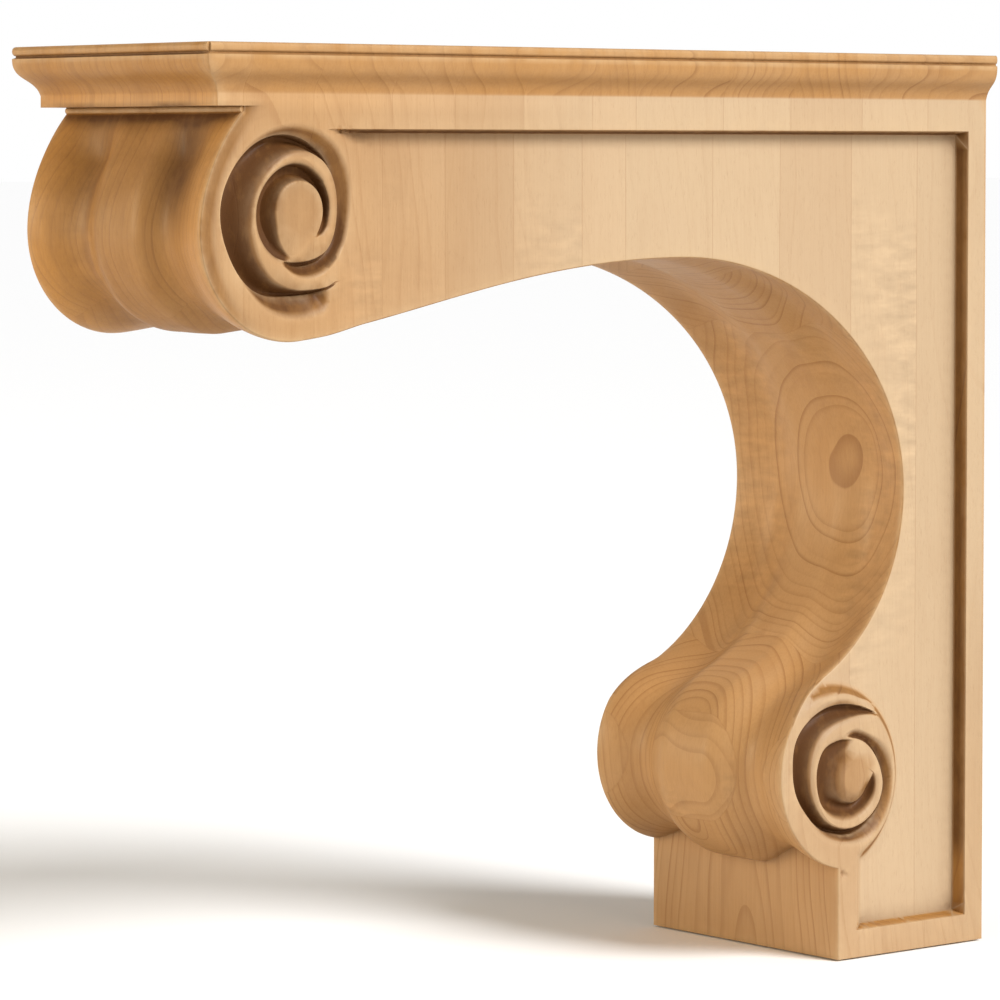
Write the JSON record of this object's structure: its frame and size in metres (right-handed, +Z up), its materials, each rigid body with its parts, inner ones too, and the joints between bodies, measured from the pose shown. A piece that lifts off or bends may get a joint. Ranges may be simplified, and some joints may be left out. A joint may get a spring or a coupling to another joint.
{
  "type": "range hood corbel",
  "caption": "Carved maple range hood corbel: a moulded cap over a long arm, scrolled volutes, a hollowed S-curved front and a square plinth, fixed by its flat back.",
  "frame": {"origin": "centre of the flat back face, which bears on the wall", "axes": "+Y out of the back into the wall, so the corbel reaches out along -Y; +Z up; X across its width"},
  "size_m": [0.177, 0.56, 0.513],
  "materials": {
    "maple": "satin clear lacquer over lightly toned maple"
  },
  "bodies": {
    "root": {"corbel": "maple"}
  },
  "joints": []
}
